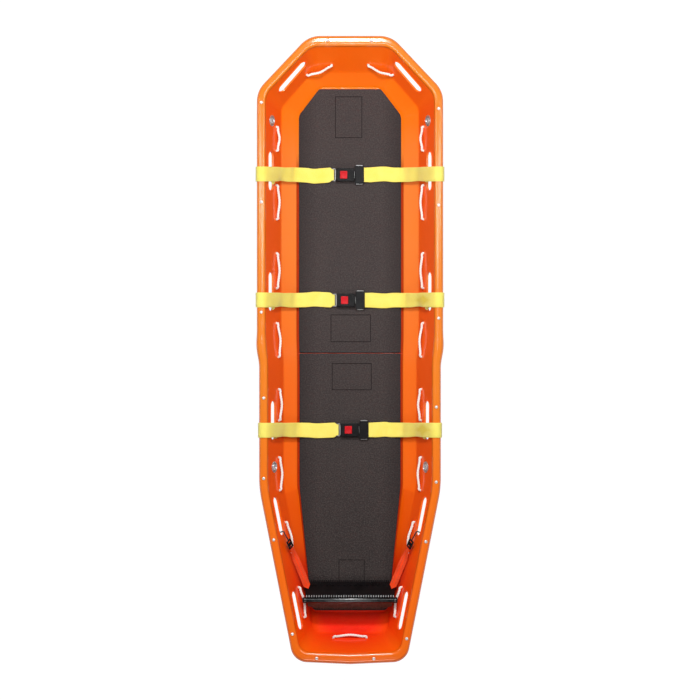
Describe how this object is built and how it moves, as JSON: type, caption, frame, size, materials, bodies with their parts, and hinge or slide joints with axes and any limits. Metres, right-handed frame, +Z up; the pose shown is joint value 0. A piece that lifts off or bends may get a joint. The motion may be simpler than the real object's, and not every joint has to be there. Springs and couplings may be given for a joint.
{
  "type": "drag basket stretcher",
  "caption": "Long moulded basket stretcher with a rolled rim, hand holes, laced rope, foam mats, buckled restraint straps, a sliding footrest and drag runners.",
  "frame": {"origin": "centre of the base, on the plane the drag runners stand on", "axes": "+Y toward the head end, +X to the casualty's left as seen in the picture's right, +Z up"},
  "size_m": [0.648, 2.165, 0.193],
  "materials": {
    "orange_hull": "moulded, satin gloss",
    "tube_aluminium": "mill",
    "rivet_steel": "bright",
    "eyelet_chrome": "plated",
    "white_rope": "twisted rope",
    "black_foam": "closed-cell foam",
    "yellow_webbing": "woven webbing",
    "orange_webbing": "woven webbing",
    "black_plastic": "moulded",
    "black_tube": "gloss",
    "black_wire": "coated",
    "bright_steel": "plated",
    "red_plastic": "gloss"
  },
  "bodies": {
    "hull": {"shell": "orange_hull", "rim_tube": "tube_aluminium", "rim_rivet_01": "rivet_steel", "rim_rivet_02": "rivet_steel", "rim_rivet_03": "rivet_steel", "rim_rivet_04": "rivet_steel", "rim_rivet_05": "rivet_steel", "rim_rivet_06": "rivet_steel", "rim_rivet_07": "rivet_steel", "rim_rivet_08": "rivet_steel", "rim_rivet_09": "rivet_steel", "rim_rivet_10": "rivet_steel", "rim_rivet_11": "rivet_steel", "rim_rivet_12": "rivet_steel", "rim_rivet_13": "rivet_steel", "rim_rivet_14": "rivet_steel", "rim_rivet_15": "rivet_steel", "rim_rivet_16": "rivet_steel", "rim_rivet_17": "rivet_steel", "rim_rivet_18": "rivet_steel", "lifting_eyelet_head_left": "eyelet_chrome", "lifting_eyelet_head_right": "eyelet_chrome", "lifting_eyelet_foot_left": "eyelet_chrome", "lifting_eyelet_foot_right": "eyelet_chrome", "laced_rope": "white_rope", "mat_head": "black_foam", "mat_foot": "black_foam", "foot_hook_left": "black_wire", "foot_hook_right": "black_wire", "foot_buckle_left": "black_plastic", "foot_buckle_right": "black_plastic", "foot_strap_left": "orange_webbing", "foot_strap_right": "orange_webbing"},
    "strap1": {"strap1_webbing_left": "yellow_webbing", "strap1_webbing_right": "yellow_webbing", "strap1_buckle_body": "black_plastic", "strap1_anchor_plate": "bright_steel"},
    "strap1_button": {"strap1_press_button": "red_plastic"},
    "strap1_tongue": {"strap1_tongue": "bright_steel", "strap1_adjuster_cover": "black_plastic"},
    "strap2": {"strap2_webbing_left": "yellow_webbing", "strap2_webbing_right": "yellow_webbing", "strap2_buckle_body": "black_plastic", "strap2_anchor_plate": "bright_steel"},
    "strap2_button": {"strap2_press_button": "red_plastic"},
    "strap2_tongue": {"strap2_tongue": "bright_steel", "strap2_adjuster_cover": "black_plastic"},
    "strap3": {"strap3_webbing_left": "yellow_webbing", "strap3_webbing_right": "yellow_webbing", "strap3_buckle_body": "black_plastic", "strap3_anchor_plate": "bright_steel"},
    "strap3_button": {"strap3_press_button": "red_plastic"},
    "strap3_tongue": {"strap3_tongue": "bright_steel", "strap3_adjuster_cover": "black_plastic"},
    "footrest": {"footrest_bar": "black_tube", "footrest_board": "black_plastic", "footrest_stand": "black_plastic", "footrest_gusset_left": "black_plastic", "footrest_gusset_right": "black_plastic"}
  },
  "joints": [
    {"name": "strap1_slide", "type": "slide", "parent": "hull", "child": "strap1", "axis": [0, 1, 0], "range_m": [-0.028, 0.05]},
    {"name": "strap1_button_press", "type": "slide", "parent": "strap1", "child": "strap1_button", "axis": [0, 0, -1], "range_m": [0, 0.0025], "stiffness_N_per_m": 1200},
    {"name": "strap1_tongue_release", "type": "slide", "parent": "strap1", "child": "strap1_tongue", "axis": [1, 0, 0], "range_m": [0, 0.032], "deforming": ["strap1_webbing_right"]},
    {"name": "strap2_slide", "type": "slide", "parent": "hull", "child": "strap2", "axis": [0, 1, 0], "range_m": [-0.01, 0.068]},
    {"name": "strap2_button_press", "type": "slide", "parent": "strap2", "child": "strap2_button", "axis": [0, 0, -1], "range_m": [0, 0.0025], "stiffness_N_per_m": 1200},
    {"name": "strap2_tongue_release", "type": "slide", "parent": "strap2", "child": "strap2_tongue", "axis": [1, 0, 0], "range_m": [0, 0.032], "deforming": ["strap2_webbing_right"]},
    {"name": "strap3_slide", "type": "slide", "parent": "hull", "child": "strap3", "axis": [0, 1, 0], "range_m": [-0.005, 0.073]},
    {"name": "strap3_button_press", "type": "slide", "parent": "strap3", "child": "strap3_button", "axis": [0, 0, -1], "range_m": [0, 0.0025], "stiffness_N_per_m": 1200},
    {"name": "strap3_tongue_release", "type": "slide", "parent": "strap3", "child": "strap3_tongue", "axis": [1, 0, 0], "range_m": [0, 0.032], "deforming": ["strap3_webbing_right"]},
    {"name": "footrest_slide", "type": "slide", "parent": "hull", "child": "footrest", "axis": [0, 1, 0], "range_m": [0, 0.1], "deforming": ["foot_strap_left", "foot_strap_right"]}
  ]
}
